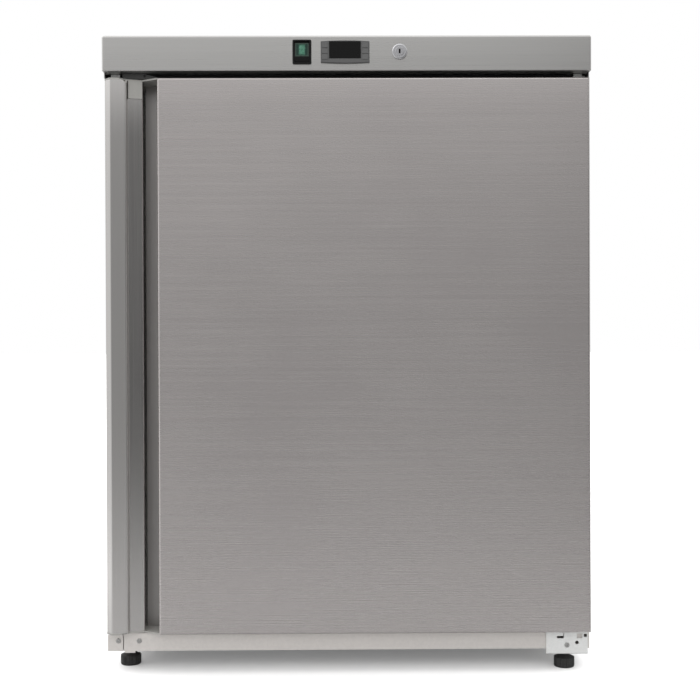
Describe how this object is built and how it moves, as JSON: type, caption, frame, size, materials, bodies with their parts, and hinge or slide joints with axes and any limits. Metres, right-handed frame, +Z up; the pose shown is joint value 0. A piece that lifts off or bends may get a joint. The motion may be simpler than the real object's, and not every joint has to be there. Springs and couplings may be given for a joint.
{
  "type": "undercounter refrigerator",
  "caption": "Free-standing undercounter refrigerator: stainless cabinet, one hinged solid door with a full-height finger pull, folded worktop and fascia controls.",
  "frame": {"origin": "on the floor, under the middle of the bounding box", "axes": "+Z up, +Y to the back, +X to the right as seen from the front (the hinge side)"},
  "size_m": [0.635, 0.64, 0.83],
  "materials": {
    "stainless_top": "brushed, grain across the front",
    "stainless_door": "brushed, grain across",
    "stainless_handle": "brushed, grain up and down",
    "cap_plastic": "moulded light grey",
    "stainless_side": "brushed",
    "base_steel": "satin zinc-coated",
    "zinc": "white zinc plate",
    "pin_steel": "ground",
    "screw_steel": "zinc plated",
    "lock_chrome": "polished",
    "hinge_cover_plastic": "moulded",
    "tray_black": "satin black",
    "galvanised": "galvanised",
    "foam": "rigid foam",
    "liner_white": "satin moulded",
    "gasket_grey": "soft vinyl",
    "bush_nylon": "nylon",
    "switch_black": "satin black",
    "lens_green": "translucent green",
    "controller_grey": "fine moulded texture",
    "key_grey": "fine moulded texture",
    "window_black": "glossy smoked",
    "shelf_coat": "plastic coated wire",
    "evaporator_aluminium": "roll-bonded",
    "fan_plastic": "moulded",
    "fan_dark": "moulded black",
    "probe_plastic": "moulded black",
    "compressor_black": "semi-gloss black",
    "condenser_black": "black",
    "copper": "drawn copper",
    "rubber_black": "black",
    "tray_plastic": "moulded",
    "rear_plastic": "moulded black",
    "foot_plastic": "knurled black"
  },
  "bodies": {
    "cabinet": {"worktop": "stainless_top", "side_panel_left": "stainless_side", "side_panel_right": "stainless_side", "front_frame": "stainless_side", "base_rail_left": "base_steel", "base_rail_right": "base_steel", "plinth_front": "base_steel", "lower_hinge_bracket": "zinc", "upper_hinge_bracket": "zinc", "hinge_pins": "pin_steel", "screws": "screw_steel", "lock_barrel": "lock_chrome", "hinge_cover": "hinge_cover_plastic", "control_tray": "tray_black", "top_rear_panel": "galvanised", "floor_panel": "galvanised", "compressor_tray": "galvanised", "cabinet_foam": "foam", "inner_liner": "liner_white", "switch_housing": "switch_black", "controller_housing": "controller_grey", "controller_window": "window_black", "evaporator": "evaporator_aluminium", "fan_cover": "fan_plastic", "fan_motor": "fan_dark", "temperature_probe": "probe_plastic", "compressor": "compressor_black", "condenser_tube": "condenser_black", "condenser_grid": "condenser_black", "pipework": "copper", "compressor_grommets": "rubber_black", "drip_tray": "tray_plastic", "cable_gland": "rear_plastic", "rear_spacers": "rear_plastic"},
    "door": {"door_skin": "stainless_door", "door_handle": "stainless_handle", "door_end_caps": "cap_plastic", "door_foam": "foam", "door_liner": "liner_white", "door_gasket": "gasket_grey", "door_bushes": "bush_nylon", "lock_keeper": "zinc"},
    "switch": {"switch_rocker": "switch_black", "switch_lens": "lens_green"},
    "lock": {"lock_plug": "lock_chrome", "lock_cam": "zinc"},
    "fan": {"fan_rotor": "fan_dark"},
    "key_left_upper": {"key_left_upper": "key_grey"},
    "key_left_middle": {"key_left_middle": "key_grey"},
    "key_left_lower": {"key_left_lower": "key_grey"},
    "key_right_upper": {"key_right_upper": "key_grey"},
    "key_right_middle": {"key_right_middle": "key_grey"},
    "key_right_lower": {"key_right_lower": "key_grey"},
    "shelf_lower": {"shelf_lower": "shelf_coat"},
    "shelf_middle": {"shelf_middle": "shelf_coat"},
    "shelf_upper": {"shelf_upper": "shelf_coat"},
    "foot_front_left": {"foot_front_left": "foot_plastic"},
    "foot_front_right": {"foot_front_right": "foot_plastic"},
    "foot_rear_left": {"foot_rear_left": "foot_plastic"},
    "foot_rear_right": {"foot_rear_right": "foot_plastic"}
  },
  "joints": [
    {"name": "door_hinge", "type": "hinge", "parent": "cabinet", "child": "door", "pos_m": [0.303, -0.287, 0.4], "axis": [0, 0, 1], "range_deg": [0, 120]},
    {"name": "switch_rock", "type": "hinge", "parent": "cabinet", "child": "switch", "pos_m": [-0.0583, -0.312, 0.8079], "axis": [1, 0, 0], "range_deg": [0, 10]},
    {"name": "lock_turn", "type": "hinge", "parent": "cabinet", "child": "lock", "pos_m": [0.0683, -0.307, 0.8084], "axis": [0, 1, 0], "range_deg": [0, 90]},
    {"name": "fan_spin", "type": "hinge", "parent": "cabinet", "child": "fan", "pos_m": [0, 0.199, 0.6675], "axis": [0, 1, 0], "continuous": true},
    {"name": "key_left_upper_press", "type": "slide", "parent": "cabinet", "child": "key_left_upper", "axis": [0, 1, 0], "range_m": [0, 0.0006], "stiffness_N_per_m": 300},
    {"name": "key_left_middle_press", "type": "slide", "parent": "cabinet", "child": "key_left_middle", "axis": [0, 1, 0], "range_m": [0, 0.0006], "stiffness_N_per_m": 300},
    {"name": "key_left_lower_press", "type": "slide", "parent": "cabinet", "child": "key_left_lower", "axis": [0, 1, 0], "range_m": [0, 0.0006], "stiffness_N_per_m": 300},
    {"name": "key_right_upper_press", "type": "slide", "parent": "cabinet", "child": "key_right_upper", "axis": [0, 1, 0], "range_m": [0, 0.0006], "stiffness_N_per_m": 300},
    {"name": "key_right_middle_press", "type": "slide", "parent": "cabinet", "child": "key_right_middle", "axis": [0, 1, 0], "range_m": [0, 0.0006], "stiffness_N_per_m": 300},
    {"name": "key_right_lower_press", "type": "slide", "parent": "cabinet", "child": "key_right_lower", "axis": [0, 1, 0], "range_m": [0, 0.0006], "stiffness_N_per_m": 300},
    {"name": "shelf_lower_slide", "type": "slide", "parent": "cabinet", "child": "shelf_lower", "axis": [0, -1, 0], "range_m": [0, 0.045]},
    {"name": "shelf_middle_slide", "type": "slide", "parent": "cabinet", "child": "shelf_middle", "axis": [0, -1, 0], "range_m": [0, 0.045]},
    {"name": "shelf_upper_slide", "type": "slide", "parent": "cabinet", "child": "shelf_upper", "axis": [0, -1, 0], "range_m": [0, 0.045]},
    {"name": "foot_front_left_turn", "type": "hinge", "parent": "cabinet", "child": "foot_front_left", "pos_m": [-0.2936, -0.259, 0.02], "axis": [0, 0, 1], "continuous": true},
    {"name": "foot_front_right_turn", "type": "hinge", "parent": "cabinet", "child": "foot_front_right", "pos_m": [0.2864, -0.283, 0.02], "axis": [0, 0, 1], "continuous": true},
    {"name": "foot_rear_left_turn", "type": "hinge", "parent": "cabinet", "child": "foot_rear_left", "pos_m": [-0.29, 0.243, 0.02], "axis": [0, 0, 1], "continuous": true},
    {"name": "foot_rear_right_turn", "type": "hinge", "parent": "cabinet", "child": "foot_rear_right", "pos_m": [0.29, 0.243, 0.02], "axis": [0, 0, 1], "continuous": true}
  ]
}
